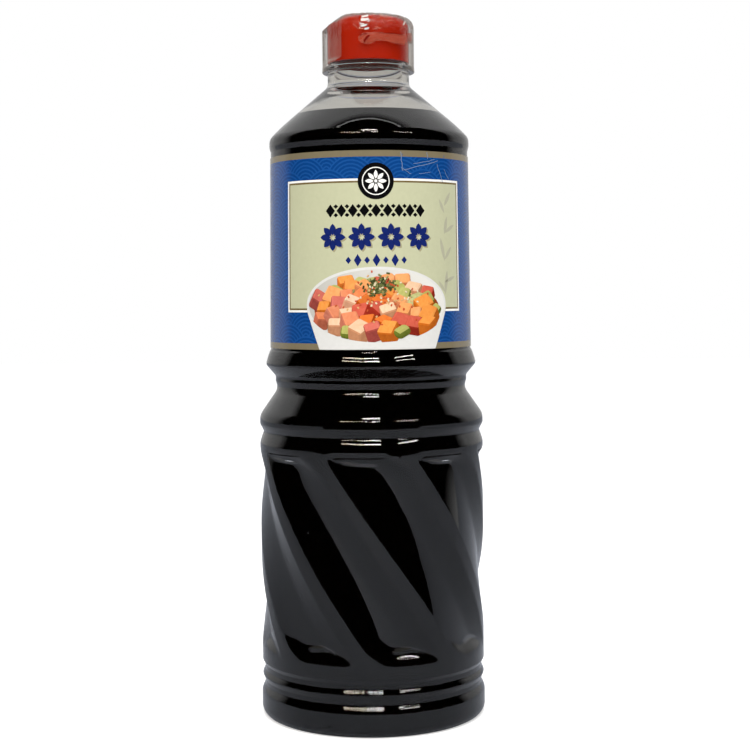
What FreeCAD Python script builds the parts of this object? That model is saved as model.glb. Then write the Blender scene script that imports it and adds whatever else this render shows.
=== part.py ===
"""One-litre-class clear sauce bottle with spiral flutes, a wrap label, a red cap and a clear seal.

Millimetres, +Z up, origin at the middle of the foot. Outlines are lists of corners
(radius, height, fillet), read from the bottom up, with straight runs and tangent arcs.
"""
import FreeCAD, Part
import math
import os

AXIS_FOOT = FreeCAD.Vector(0, 0, 0)
UP = FreeCAD.Vector(0, 0, 1)

# ---- walls and fits ----
wall = 0.7
neck_wall = 2.3
finish_wall = 1.3
label_thick = 0.2
film_thick = 0.2
cap_wall = 0.75
cap_clearance = 0.3
film_clearance = 0.1

# ---- body: its radius, and how far the other outlines stand back from it ----
body_radius = 41.5
foot_overhang = 0.3
foot_inner_setback = 10.5
low_groove_depth = 0.85
ring_groove_depth = 1.75
waist_depth = 6.5
bead_setback = 2.6
panel_setback = 4.4
panel_taper = 0.75
rim_overhang = 0.5
heel_fillet = 3.5
push_up = 9.0
push_up_radius = 15.0

# ---- heights of the sections, from the foot up ----
foot_band_height = 11.9
low_groove_height = 3.5
low_ring_height = 2.4
body_groove_height = 3.0
body_height = 83.2
ring_groove_rise = 2.2
ring_groove_height = 4.8
bulge_height = 3.2
waist_fall = 9.4
waist_height = 4.2
waist_rise = 5.0
bead_height = 0.8
bead_fall = 4.3
panel_height = 72.9
rim_rise = 2.0
rim_height = 2.9
shoulder_height = 19.2
neck_height = 5.3

# ---- neck and its finish ----
neck_radius = 15.05
ledge_height = 1.7
ledge_overhang = 1.9
finish_height = 15.8
bore_root_drop = 2.2
thick_wall_drop = 5.0

# ---- filling, label, cap and seal ----
headspace = 10.6
label_low_margin = 1.3
label_top_margin = 2.1
cap_gap = 1.5
cap_height = 17.8
cap_fillet = 4.3
tab_reach = 1.4
tab_width = 6.5
tab_height = 3.2
tab_drop = 8.6
tab_side = 85.0
film_skirt = 0.5
film_opening_setback = 7.75
film_top_fillet = 4.4

# ---- spiral flutes ----
flute_count = 8
flute_depth = 2.2
flute_low_margin = 5.6
flute_top_margin = 4.1
flute_share = 0.82
flute_twist = 0.92
flute_phase = 13.8
phase_height = 60.0
valley_share = 0.62
valley_power = 1.5
end_slope = 0.58
corner_round = 8.0
edge_soft = 0.12
cutter_margin = 0.06
cutter_rise = 4.0
section_step = 5.0
end_step = 1.2
floor_points = 9

# ---- heights that follow ----
low_ring_bottom = foot_band_height + low_groove_height
low_ring_top = low_ring_bottom + low_ring_height
body_bottom = low_ring_top + body_groove_height
body_top = body_bottom + body_height
bulge_bottom = body_top + ring_groove_height
bulge_top = bulge_bottom + bulge_height
waist_bottom = bulge_top + waist_fall
waist_top = waist_bottom + waist_height
bead_bottom = waist_top + waist_rise
bead_top = bead_bottom + bead_height
panel_bottom = bead_top + bead_fall
panel_top = panel_bottom + panel_height
rim_bottom = panel_top + rim_rise
rim_top = rim_bottom + rim_height
neck_root = rim_top + shoulder_height
ledge_bottom = neck_root + neck_height
ledge_top = ledge_bottom + ledge_height
finish_top = ledge_top + finish_height
cap_bottom = ledge_top + cap_gap
cap_top = cap_bottom + cap_height
label_bottom = panel_bottom + label_low_margin
label_top = panel_top - label_top_margin
flute_bottom = body_bottom + flute_low_margin
flute_top = body_top - flute_top_margin
bore_root = neck_root - bore_root_drop
thick_wall_end = neck_root - thick_wall_drop
sauce_level = neck_root - headspace

# ---- radii that follow ----
foot_inner_radius = body_radius - foot_inner_setback
foot_band_radius = body_radius + foot_overhang
waist_radius = body_radius - waist_depth
bead_radius = body_radius - bead_setback
panel_low_radius = body_radius - panel_setback
panel_top_radius = panel_low_radius - panel_taper
rim_radius = panel_top_radius + rim_overhang
bore_radius = neck_radius - neck_wall
finish_radius = bore_radius + finish_wall
ledge_radius = neck_radius + ledge_overhang
cap_radius = finish_radius + cap_clearance + cap_wall
film_inner_radius = max(ledge_radius, cap_radius + tab_reach) + film_clearance
film_outer_radius = film_inner_radius + film_thick
film_opening_radius = film_outer_radius - film_opening_setback
pitch = 360.0 / flute_count
flute_width = math.radians(pitch * flute_share) * body_radius


def unit(start, end):
    """Direction from one corner to the next."""
    run = (end[0] - start[0], end[1] - start[1])
    length = math.hypot(*run)
    return (run[0] / length, run[1] / length)


def cross(a, b):
    """Signed area of two directions: positive where the outline turns left."""
    return a[0] * b[1] - a[1] * b[0]


def offset_corners(corners, distance):
    """The outline moved to its left by distance, its fillets kept concentric."""
    moved = []
    for i, (radius, height, fillet) in enumerate(corners):
        before = unit(corners[i - 1], corners[i]) if i else unit(corners[0], corners[1])
        after = unit(corners[i], corners[i + 1]) if i + 1 < len(corners) else before
        turn = cross(before, after)
        lean = 1 + before[0] * after[0] + before[1] * after[1]
        shift = (-(before[1] + after[1]) / lean, (before[0] + after[0]) / lean)
        if fillet and turn > 0:
            fillet = max(fillet - distance, 0.05)
        elif fillet:
            fillet = fillet + distance
        moved.append((radius + shift[0] * distance, height + shift[1] * distance, fillet))
    return moved


def point(radius, height):
    """A point of the half plane that is turned about the axis."""
    return FreeCAD.Vector(radius, 0, height)


def corner_arc(before, corner, after):
    """Start, middle and end of the tangent arc at a corner, or the bare corner."""
    radius, height, fillet = corner
    if not fillet:
        return (point(radius, height),)
    back = unit(corner, before)
    ahead = unit(corner, after)
    cosine = back[0] * ahead[0] + back[1] * ahead[1]
    half = math.acos(max(-1.0, min(1.0, cosine))) / 2
    setback = fillet / math.tan(half)
    middle = unit((0, 0), (back[0] + ahead[0], back[1] + ahead[1]))
    sag = fillet / math.sin(half) - fillet
    return (
        point(radius + back[0] * setback, height + back[1] * setback),
        point(radius + middle[0] * sag, height + middle[1] * sag),
        point(radius + ahead[0] * setback, height + ahead[1] * setback),
    )


def closed_outline(corners):
    """Edges of a closed outline: straight runs joined by tangent arcs."""
    count = len(corners)
    arcs = []
    for i, corner in enumerate(corners):
        arcs.append(corner_arc(corners[i - 1], corner, corners[(i + 1) % count]))
    edges = []
    for i, arc in enumerate(arcs):
        following = arcs[(i + 1) % count]
        if len(arc) == 3:
            edges.append(Part.Arc(*arc).toShape())
        if arc[-1].distanceToPoint(following[0]) > 1e-6:
            edges.append(Part.makeLine(arc[-1], following[0]))
    return Part.Wire(edges)


def turned(corners):
    """Solid of revolution of a closed outline."""
    return Part.Face(closed_outline(corners)).revolve(AXIS_FOOT, UP, 360)


def foot_corners():
    """Underside with its push-up, the heel, and the two rings above the foot."""
    groove = body_radius - low_groove_depth
    return [
        (0, push_up, 0),
        (push_up_radius, push_up, 12.0),
        (foot_inner_radius, 0, 3.0),
        (foot_band_radius, 0, heel_fillet),
        (foot_band_radius, foot_band_height, 1.0),
        (groove, (foot_band_height + low_ring_bottom) / 2, 0.8),
        (body_radius, low_ring_bottom, 0.8),
        (body_radius, low_ring_top, 0.8),
        (groove, (low_ring_top + body_bottom) / 2, 0.7),
        (body_radius, body_bottom, 0.8),
    ]


def waist_corners():
    """Groove above the upper ring, then bulge, waist and bead."""
    return [
        (body_radius, body_top, 1.0),
        (body_radius - ring_groove_depth, body_top + ring_groove_rise, 0.9),
        (body_radius, bulge_bottom, 1.4),
        (body_radius, bulge_top, 5.0),
        (waist_radius, waist_bottom, 5.0),
        (waist_radius, waist_top, 2.6),
        (bead_radius, bead_bottom, 0.9),
        (bead_radius, bead_top, 0.9),
        (panel_low_radius, panel_bottom, 2.0),
    ]


def shoulder_corners():
    """Label panel, the rim above it and the shoulder cone up to the neck."""
    return [
        (panel_top_radius, panel_top, 1.5),
        (rim_radius, rim_bottom, 1.5),
        (rim_radius, rim_top, 2.2),
        (neck_radius, neck_root, 3.0),
    ]


def finish_corners():
    """Neck, its support ledge and the plain finish under the cap."""
    return [
        (neck_radius, ledge_bottom, 0.5),
        (ledge_radius, ledge_bottom, 0.4),
        (ledge_radius, ledge_top, 0.4),
        (finish_radius, ledge_top, 0.3),
        (finish_radius, finish_top, 0.4),
    ]


def outer_blank():
    """Everything inside the outer skin, before the flutes are cut."""
    corners = foot_corners() + waist_corners() + shoulder_corners() + finish_corners()
    return turned(corners + [(0, finish_top, 0)])


def inner_blank():
    """The cavity: a thin wall inside the skin, thicker from the upper shoulder to the bore."""
    skin = foot_corners() + waist_corners() + shoulder_corners()
    inner = offset_corners(skin, wall)
    inner[0] = (0, push_up + wall, 0)
    inner.pop()
    cone_run = (rim_radius - neck_radius) / (neck_root - rim_top)
    skin_radius = rim_radius - (thick_wall_end - rim_top) * cone_run
    thin_radius = skin_radius - wall * math.hypot(1, cone_run)
    inner += [
        (thin_radius, thick_wall_end, 6.0),
        (bore_radius, bore_root, 1.6),
        (bore_radius, finish_top + wall, 0),
        (0, finish_top + wall, 0),
    ]
    return turned(inner)


def soft_min(values):
    """Least of several depths, with the creases between them rounded."""
    least = min(values)
    total = sum(math.exp((least - value) / edge_soft) for value in values)
    return least - edge_soft * math.log(total)


def corner_pull(distance):
    """How far a rounded corner draws a flute's side in, at a distance from its end."""
    inside = min(max(corner_round - distance, 0.0), corner_round)
    return corner_round - math.sqrt(corner_round ** 2 - inside ** 2)


def trough(share):
    """Depth across a flute: a long fall from the ridge, then a short rise to the land."""
    if share < valley_share:
        return 1 - abs(1 - share / valley_share) ** valley_power
    rise = (share - valley_share) / (1 - valley_share)
    return 1 - rise ** valley_power


def flute_section(height, grow):
    """Horizontal section of one cutter, its floor a spline and its back an arc."""
    left = corner_pull(height - flute_bottom) - grow
    right = flute_width - corner_pull(flute_top - height) + grow
    turn = flute_phase - flute_twist * (height - phase_height) - 90
    ends = (end_slope * (flute_top - height), end_slope * (height - flute_bottom))
    floor = []
    for i in range(floor_points):
        share = -cutter_margin + (1 + 2 * cutter_margin) * i / (floor_points - 1)
        depth = soft_min((flute_depth * trough(share), ends[0], ends[1]))
        angle = math.radians(turn) + (left + share * (right - left)) / body_radius
        radius = body_radius - depth - grow
        floor.append(FreeCAD.Vector(radius * math.cos(angle), radius * math.sin(angle), height))
    start = angle_of(floor[0])
    end = angle_of(floor[-1])
    back = [rim_point(start + (end - start) * part, height) for part in (1, 0.5, 0)]
    spline = Part.BSplineCurve()
    spline.interpolate(Points=floor, Parameters=list(range(floor_points)))
    return Part.Wire([
        spline.toShape(),
        Part.makeLine(floor[-1], back[0]),
        Part.Arc(*back).toShape(),
        Part.makeLine(back[2], floor[0]),
    ])


def angle_of(place):
    """Bearing of a point about the axis, kept continuous across the cutter."""
    return math.atan2(place.y, place.x)


def rim_point(angle, height):
    """A point outside the body, on the back of a cutter."""
    radius = body_radius + cutter_rise
    return FreeCAD.Vector(radius * math.cos(angle), radius * math.sin(angle), height)


def section_heights():
    """Heights of the cutter's sections: close together at its two ends."""
    below = [flute_bottom + end_step * i for i in range(-1, 6)]
    above = [flute_top - end_step * i for i in range(5, -2, -1)]
    span = above[0] - below[-1]
    count = round(span / section_step)
    between = [below[-1] + span * i / count for i in range(1, count)]
    return below + between + above


def flute_cutters(grow):
    """The cutters of all flutes; grow moves them inward to leave the wall."""
    sections = [flute_section(height, grow) for height in section_heights()]
    cutter = Part.makeLoft(sections, True, True)
    cutters = []
    for i in range(flute_count):
        copy = cutter.copy()
        copy.rotate(AXIS_FOOT, UP, i * pitch)
        cutters.append(copy)
    return cutters


def make_cavity():
    """Inside of the bottle, with the flutes standing into it."""
    return inner_blank().cut(flute_cutters(wall))


def make_bottle(cavity):
    """Thin clear bottle: the outer skin less the cavity."""
    return outer_blank().cut(flute_cutters(0)).cut(cavity)


def make_sauce(cavity):
    """The filling, up to its level in the upper shoulder."""
    return cavity.common(Part.makeCylinder(body_radius + wall, sauce_level))


def panel_radius(height):
    """Radius of the slightly tapered label panel."""
    share = (height - panel_bottom) / (panel_top - panel_bottom)
    return panel_low_radius + (panel_top_radius - panel_low_radius) * share


def make_label():
    """Wrap label lying on the panel."""
    low = panel_radius(label_bottom)
    high = panel_radius(label_top)
    return turned([
        (low, label_bottom, 0),
        (low + label_thick, label_bottom, 0),
        (high + label_thick, label_top, 0),
        (high, label_top, 0),
    ])


def make_tab():
    """Small thumb tab on the cap's side."""
    side = math.radians(tab_side - 90)
    length = cap_radius + tab_reach
    tab = Part.makeBox(length, tab_width, tab_height, FreeCAD.Vector(0, -tab_width / 2, 0))
    front = [edge for edge in tab.Edges if edge.BoundBox.XMin > length - 0.01]
    tab = tab.makeFillet(tab_reach * 0.6, front)
    tab.translate(FreeCAD.Vector(0, 0, cap_top - tab_drop))
    tab.rotate(AXIS_FOOT, UP, math.degrees(side))
    return tab


def make_cap():
    """Red cap with a rounded top, hollow over the finish."""
    hollow = finish_radius + cap_clearance
    shell = turned([
        (0, cap_bottom, 0),
        (cap_radius, cap_bottom, 0.3),
        (cap_radius, cap_top, cap_fillet),
        (0, cap_top, 0),
    ])
    shell = shell.fuse(make_tab()).removeSplitter()
    room = Part.makeCylinder(hollow, finish_top - cap_bottom, point(0, cap_bottom))
    return shell.cut(room)


def make_seal_film():
    """Clear shrink seal: under the ledge, up round the cap and over its rim."""
    top = cap_top + film_clearance + film_thick
    outer = [
        (neck_radius + film_clearance + film_thick, ledge_bottom - film_clearance - film_thick, 0),
        (film_outer_radius + film_skirt, ledge_bottom - film_clearance - film_thick, 0.6),
        (film_outer_radius, ledge_top, 1.0),
        (film_outer_radius, top, film_top_fillet),
        (film_opening_radius, top, 0),
    ]
    inner = offset_corners(outer, film_thick)
    return turned(outer + inner[::-1])


def save(node, shape):
    """Write one node's solid and print what it holds."""
    shape.exportStep(f"parts/{node}.step")
    millilitres = shape.Volume / 1000
    print(f"{node}: {len(shape.Solids)} solid, {millilitres:.1f} ml, valid {shape.isValid()}")


def main():
    """Build every node."""
    os.makedirs("parts", exist_ok=True)
    cavity = make_cavity()
    save("bottle", make_bottle(cavity))
    save("sauce", make_sauce(cavity))
    save("label", make_label())
    save("cap", make_cap())
    save("seal_film", make_seal_film())


main()
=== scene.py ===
"""Clear bottle of dark sauce: shell with spiral flutes, filling, printed label, red cap and clear seal.

Metres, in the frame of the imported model: +Z up, origin at the middle of the foot, front towards -Y.
Outlines are corners (radius, height, fillet) in millimetres, read from the bottom up.
"""
import bmesh
import bpy
import math
import random
from mathutils import Matrix, Vector, noise


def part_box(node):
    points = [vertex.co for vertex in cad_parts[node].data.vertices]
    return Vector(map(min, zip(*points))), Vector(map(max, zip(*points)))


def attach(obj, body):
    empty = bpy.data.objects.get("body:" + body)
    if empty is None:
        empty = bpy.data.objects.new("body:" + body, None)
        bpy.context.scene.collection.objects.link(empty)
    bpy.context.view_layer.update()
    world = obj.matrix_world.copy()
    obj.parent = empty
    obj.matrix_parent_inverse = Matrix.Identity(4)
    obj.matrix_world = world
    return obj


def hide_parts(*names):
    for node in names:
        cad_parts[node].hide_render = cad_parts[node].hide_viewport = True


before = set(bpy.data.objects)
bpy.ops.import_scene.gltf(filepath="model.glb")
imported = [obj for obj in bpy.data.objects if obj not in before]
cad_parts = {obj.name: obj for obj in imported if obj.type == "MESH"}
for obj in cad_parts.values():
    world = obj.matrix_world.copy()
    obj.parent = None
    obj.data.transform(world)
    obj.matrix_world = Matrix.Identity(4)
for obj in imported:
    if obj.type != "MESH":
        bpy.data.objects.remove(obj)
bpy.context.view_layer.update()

MM = 0.001

# ---- sizes that the frame gives ----
label_low, label_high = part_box("label")
sauce_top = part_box("sauce")[1].z
cap_low, cap_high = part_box("cap")
film_low, film_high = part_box("seal_film")
bottle_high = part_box("bottle")[1]

# ---- walls, millimetres ----
wall = 0.7
neck_wall = 2.3
finish_wall = 1.3
sauce_bite = 0.45

# ---- radii of the outline ----
body_radius = 41.5
foot_band_radius = body_radius + 0.3
foot_inner_radius = body_radius - 10.5
low_groove_radius = body_radius - 0.85
ring_groove_radius = body_radius - 1.75
waist_radius = body_radius - 6.5
bead_radius = body_radius - 2.6
panel_low_radius = body_radius - 4.4
panel_top_radius = panel_low_radius - 0.75
rim_radius = panel_top_radius + 0.5
neck_radius = 15.05
bore_radius = neck_radius - neck_wall
finish_radius = bore_radius + finish_wall
ledge_radius = neck_radius + 1.9
push_up_radius = 15.0
shoulder_in = 4.42

# ---- heights of the outline ----
push_up = 9.0
foot_band_top = 11.9
low_ring_bottom = foot_band_top + 3.5
low_ring_top = low_ring_bottom + 2.4
body_bottom = low_ring_top + 3.0
body_top = body_bottom + 83.2
bulge_bottom = body_top + 4.8
bulge_top = bulge_bottom + 3.2
waist_bottom = bulge_top + 9.4
waist_top = waist_bottom + 4.2
bead_bottom = waist_top + 5.0
bead_top = bead_bottom + 0.8
panel_bottom = bead_top + 4.3
panel_top = panel_bottom + 72.9
rim_bottom = panel_top + 2.0
rim_top = rim_bottom + 2.9
shoulder_rise = 4.5
neck_root = rim_top + 19.2
ledge_bottom = neck_root + 5.3
ledge_top = ledge_bottom + 1.7
finish_top = bottle_high.z / MM
bore_root = neck_root - 2.2
thick_wall_end = neck_root - 5.0

# ---- spiral flutes ----
flute_count = 8
columns_per_flute = 33
flute_sizes = {
    "Flute Depth": 2.2 * MM,
    "Flute Bottom": (body_bottom + 5.6) * MM,
    "Flute Top": (body_top - 5.0) * MM,
    "Flute Share": 27 / columns_per_flute,
    "Twist": math.radians(0.92) / MM,
    "Phase": math.radians(13.8 - 90),
    "Phase Height": 60.0 * MM,
    "Valley Share": 0.62,
    "Valley Power": 1.5,
    "Low Slope": 0.48,
    "Top Slope": 1.15,
    "Corner Round": 8.0 * MM,
    "Edge Soft": 0.5 * MM,
}

# ---- printed label ----
label_thick = 0.2
print_turn = math.radians(3.7)
print_radius = 37.0
print_step = 1.5
panel_half_width = 36.0
panel_foot = 150.2
panel_head = 196.7
panel_white_line = 0.75
panel_gold_line = 0.65
band_height = 2.2
wave_radius = 9.0
wave_rings = 7
wave_ring_step = 1.3
wave_line = 0.55
bowl_middle = (0.6, 152.7)
bowl_half_width = 26.9
bowl_half_height = 13.3
bowl_foot_half_width = 21.5
pile_half_width = 23.6
pile_half_height = 10.6
pile_low = 143.2
morsel_step = 0.0022
green_top = "B6B666"
green_side = "76822E"
print_lifts = {  # how far each layer of print stands off the label
    "label_waves": 0.015, "label_bands": 0.02, "panel_edge": 0.03, "panel_line": 0.04, "panel_field": 0.05,
    "crest_rim": 0.07, "crest_ring": 0.08, "crest_field": 0.09, "crest_flower": 0.1, "row_lozenges": 0.065,
    "flower_shadows": 0.06, "flowers": 0.07, "row_small": 0.065, "side_leaves": 0.06, "sleeve_creases": 0.12,
    "bowl_body": 0.06, "bowl_inside": 0.07, "bowl_gravy": 0.074, "bowl_food": 0.075, "bowl_front": 0.235,
}
crest_height = 195.8
lozenge_row = 185.6
flower_row = 176.4
small_row = 168.3
leaf_column = 27.4

# ---- cap and seal ----
cap_radius = cap_high.y / MM
cap_clearance = 0.3
cap_fillet = 3.6
lid_drop = 1.6
lid_slope = 0.62
lid_slope_low = 253.2
tab_reach = 1.4
tab_depth = 4.0
tab_width = 6.5
tab_height = 3.2
tab_drop = 10.2
fold_height = 248.2
tab_side = math.radians(85.0)
film_radius = film_high.x / MM - 0.5
film_thick = 0.12
film_drop = 1.4
film_fillet = 4.0
film_mouth = 7.6
knot_half = 2.1

# ---- studio ----
camera_lens = 76.1
camera_place = (0.0015, -0.5912, 0.157)
camera_down = math.radians(2.978)
camera_roll = math.radians(-0.5)
tube_rows = (29.9, 35.1)
tube_thick = 1.3
plain_level = 0.62
through_level = 0.47
through_tint = (1.0, 0.96, 0.87, 1)
backdrop_level = 1.0
side_level = 0.6
room_edge = 0.19
room_blend = 0.26
room_sharpness = 0.19
strip_place = 0.178
strip_half_width = 0.014
strip_level = 2.6
floor_front = -0.87
floor_lift = 0.5
floor_tone = (0.95, 0.95, 0.95, 1)
floor_reflected = (0.49, 0.52, 0.59, 1)
lamp_distance = 1.6
lamp_centre = 0.11


# ======== outlines ========

def unit(start, end):
    """Direction from one corner to the next."""
    run = (end[0] - start[0], end[1] - start[1])
    length = math.hypot(*run)
    return (run[0] / length, run[1] / length)


def run_at(line, i):
    """Direction of a line of points at one of them."""
    return unit(line[max(i - 1, 0)], line[min(i + 1, len(line) - 1)])


def offset_corners(corners, distance):
    """The outline moved to its left by distance, its fillets kept concentric."""
    moved = []
    for i, (radius, height, fillet) in enumerate(corners):
        before = unit(corners[i - 1], corners[i]) if i else unit(corners[0], corners[1])
        after = unit(corners[i], corners[i + 1]) if i + 1 < len(corners) else before
        turn = before[0] * after[1] - before[1] * after[0]
        lean = 1 + before[0] * after[0] + before[1] * after[1]
        if fillet:
            fillet = max(fillet - distance, 0.05) if turn > 0 else fillet + distance
        radius += distance * -(before[1] + after[1]) / lean
        height += distance * (before[0] + after[0]) / lean
        moved.append((radius, height, fillet))
    return moved


def corner_points(before, corner, after, arc_step, arc_length):
    """Points of the tangent arc at a corner, or the bare corner."""
    radius, height, fillet = corner
    if not fillet:
        return [(radius, height)]
    back = unit(corner, before)
    ahead = unit(corner, after)
    cosine = max(-1.0, min(1.0, back[0] * ahead[0] + back[1] * ahead[1]))
    half = math.acos(cosine) / 2
    setback = fillet / math.tan(half)
    turn = math.pi - 2 * half
    count = max(2, round(turn / arc_step), math.ceil(fillet * turn / arc_length))
    middle = unit((0, 0), (back[0] + ahead[0], back[1] + ahead[1]))
    centre = (radius + middle[0] * fillet / math.sin(half), height + middle[1] * fillet / math.sin(half))
    start = math.atan2(height + back[1] * setback - centre[1], radius + back[0] * setback - centre[0])
    end = math.atan2(height + ahead[1] * setback - centre[1], radius + ahead[0] * setback - centre[0])
    sweep = (end - start + math.pi) % math.tau - math.pi
    angles = [start + sweep * i / count for i in range(count + 1)]
    return [(centre[0] + fillet * math.cos(a), centre[1] + fillet * math.sin(a)) for a in angles]


def rounded(corners, arc_step=math.radians(12), run_step=8.0, flute_step=0.9, arc_length=4.0, guard=0.0):
    """Points of an outline, its corners rounded and its runs divided; guard points keep short runs flat."""
    points = []
    last = len(corners) - 1
    for i, corner in enumerate(corners):
        before = corners[max(i - 1, 0)]
        after = corners[min(i + 1, last)]
        bare = i in (0, last)
        arc = [corner[:2]] if bare else corner_points(before, corner, after, arc_step, arc_length)
        if points:
            points += divided(points[-1], arc[0], run_step, flute_step, guard)
        points += arc
    return points


def divided(start, end, run_step, flute_step, guard):
    """Points between two others, closer together where the flutes are, with guards near both ends."""
    in_flutes = min(start[1], end[1]) < body_top - 2 and max(start[1], end[1]) > body_bottom + 1
    step = flute_step if in_flutes else run_step
    length = math.dist(start, end)
    count = max(1, math.ceil(length / step))
    shares = [i / count for i in range(1, count)]
    if guard and 4 * guard < length < 12 and not in_flutes:
        shares = [guard / length] + shares + [1 - guard / length]
    return [(start[0] + (end[0] - start[0]) * s, start[1] + (end[1] - start[1]) * s) for s in shares]


def skin_corners():
    """The outer skin from the middle of the underside to the root of the neck."""
    return [
        (0, push_up, 0),
        (push_up_radius, push_up, 12.0),
        (foot_inner_radius, 0, 3.0),
        (foot_band_radius, 0, 3.5),
        (foot_band_radius, foot_band_top - 2.7, 3.0),
        (foot_band_radius - 0.58, foot_band_top - 1.3, 10.0),
        (low_groove_radius - 0.03, foot_band_top - 0.2, 1.0),
        (low_groove_radius, foot_band_top + 1.6, 0.8),
        (body_radius, low_ring_bottom + 0.1, 0.8),
        (body_radius - 0.45, low_ring_bottom + 1.2, 8.0),
        (low_groove_radius - 0.05, low_ring_top - 0.4, 0.8),
        (low_groove_radius, (low_ring_top + body_bottom) / 2, 0.7),
        (body_radius, body_bottom, 0.8),
        (body_radius, body_top - 2.2, 3.0),
        (body_radius - 0.54, body_top - 0.1, 28.0),
        (ring_groove_radius + 0.36, body_top + 2.1, 0.8),
        (body_radius, bulge_bottom, 1.4),
        (body_radius, bulge_top, 5.0),
        (waist_radius, waist_bottom, 4.0),
        (waist_radius, waist_bottom + 1.5, 0.8),
        (waist_radius + 0.5, waist_top - 0.9, 1.2),
        (waist_radius + 0.46, waist_top + 0.9, 1.4),
        (bead_radius, bead_bottom, 0.9),
        (bead_radius, bead_top, 0.9),
        (bead_radius - 0.5, bead_top + 2.15, 24.0),
        (panel_low_radius + 0.43, panel_bottom, 0.3),
        (panel_low_radius, panel_bottom + 0.6, 0.3),
        (panel_top_radius, panel_top, 1.5),
        (rim_radius, rim_bottom, 1.5),
        (rim_radius, rim_top, 3.4),
        (rim_radius - shoulder_in, rim_top + shoulder_rise, 85.0),
        (neck_radius, neck_root, 3.0),
    ]


def finish_corners():
    """Neck, support ledge and the plain finish that the cap covers."""
    return [
        (neck_radius, ledge_bottom, 0.5),
        (ledge_radius, ledge_bottom, 0.4),
        (ledge_radius, ledge_top, 0.4),
        (finish_radius, ledge_top, 0.3),
        (finish_radius, finish_top, 0.4),
        (bore_radius, finish_top, 0.4),
    ]


def cavity_corners(depth):
    """The inside, at a depth below the skin, with its thicker wall from shoulder to bore."""
    inner = offset_corners(skin_corners(), depth)[:-1]
    inner[0] = (0, push_up + depth, 0)
    cone_run = (rim_radius - shoulder_in - neck_radius) / (neck_root - rim_top - shoulder_rise)
    skin = neck_radius + (neck_root - thick_wall_end) * cone_run
    spare = wall - depth
    return inner + [
        (skin - depth * math.hypot(1, cone_run), thick_wall_end, 6.0),
        (bore_radius + spare, bore_root, 1.6),
        (bore_radius + spare, finish_top - 0.4, 0),
    ]


# ======== node helpers ========

class Number:
    """A value in a node tree. Arithmetic on it adds Math nodes."""

    def __init__(self, tree, socket):
        self.tree = tree
        self.socket = socket

    def math(self, operation, *others):
        node = self.tree.nodes.new("ShaderNodeMath")
        node.operation = operation
        for slot, value in zip(node.inputs, (self, *others)):
            if isinstance(value, Number):
                self.tree.links.new(value.socket, slot)
            else:
                slot.default_value = value
        return Number(self.tree, node.outputs[0])

    def __add__(self, other):
        return self.math("ADD", other)

    def __sub__(self, other):
        return self.math("SUBTRACT", other)

    def __mul__(self, other):
        return self.math("MULTIPLY", other)

    def __truediv__(self, other):
        return self.math("DIVIDE", other)

    def __rsub__(self, other):
        return self.math("MULTIPLY", -1.0).math("ADD", other)

    def least(self, other):
        return self.math("MINIMUM", other)

    def most(self, other):
        return self.math("MAXIMUM", other)


def node(tree, kind, values=None, **settings):
    """A node with its settings filled in, and the values of its inputs by name."""
    made = tree.nodes.new(kind)
    for key, value in settings.items():
        setattr(made, key, value)
    for key, value in (values or {}).items():
        made.inputs[key].default_value = value
    return made


def join(tree, *pairs):
    """Links each pair of sockets, an output first."""
    for start, end in pairs:
        start = start.socket if isinstance(start, Number) else start
        tree.links.new(start, end)


def parts_of(tree, vector):
    """The three parts of a vector socket, as numbers."""
    parts = node(tree, "ShaderNodeSeparateXYZ")
    join(tree, (vector, parts.inputs[0]))
    return [Number(tree, parts.outputs[axis]) for axis in "XYZ"]


def vector_of(tree, *numbers):
    """A vector socket from three numbers."""
    whole = node(tree, "ShaderNodeCombineXYZ")
    join(tree, *zip(numbers, whole.inputs))
    return whole.outputs[0]


def blended(tree, share, first, second, target):
    """Blends two colours by a share into a colour socket."""
    blend = node(tree, "ShaderNodeMix", data_type="RGBA")
    blend.inputs["A"].default_value = first
    blend.inputs["B"].default_value = second
    join(tree, (share, blend.inputs["Factor"]), (blend.outputs["Result"], target))


def tree_face(name, **sockets):
    """A new node tree with its inputs by kind, and the sockets and numbers that they give inside it."""
    tree = bpy.data.node_groups.new(name, "GeometryNodeTree")
    for kind, names in sockets.items():
        for socket in names:
            tree.interface.new_socket(name=socket, in_out="INPUT", socket_type="NodeSocket" + kind)
    tree.interface.new_socket(name="Piece", in_out="OUTPUT", socket_type="NodeSocketGeometry")
    inputs = node(tree, "NodeGroupInput").outputs
    names = (*sockets["Int"], *sockets["Float"])
    return tree, inputs, {name: Number(tree, inputs[name]) for name in names}


def close_tree(tree, last, inputs):
    """Ends a tree with plain geometry in its material."""
    real = node(tree, "GeometryNodeRealizeInstances")
    coloured = node(tree, "GeometryNodeSetMaterial")
    join(tree, (last.outputs[0], real.inputs["Geometry"]), (real.outputs[0], coloured.inputs["Geometry"]),
         (inputs["Material"], coloured.inputs["Material"]),
         (coloured.outputs[0], node(tree, "NodeGroupOutput").inputs[0]))


# ======== spun pieces ========

def fluted_depth(size, share_of_pitch, height):
    """How deep the flutes are at a place in their pitch and at a height."""
    flute_width = size["Flute Share"] * size["Body Radius"] * (math.tau / flute_count)
    along = share_of_pitch * size["Body Radius"] * (math.tau / flute_count)
    above = height - size["Flute Bottom"]
    below = size["Flute Top"] - height
    left = corner_pull(size["Corner Round"], above)
    right = flute_width - corner_pull(size["Corner Round"], below)
    share = (along - left) / (right - left)
    falling = 1.0 - share / size["Valley Share"]
    rising = (share - size["Valley Share"]) / (1.0 - size["Valley Share"])
    trough = 1.0 - falling.most(rising).math("POWER", size["Valley Power"])
    depth = size["Flute Depth"] * trough
    depth = depth.math("SMOOTH_MIN", below * size["Top Slope"], size["Edge Soft"])
    depth = depth.math("SMOOTH_MIN", above * size["Low Slope"], size["Edge Soft"])
    return depth.most(0.0)


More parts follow.
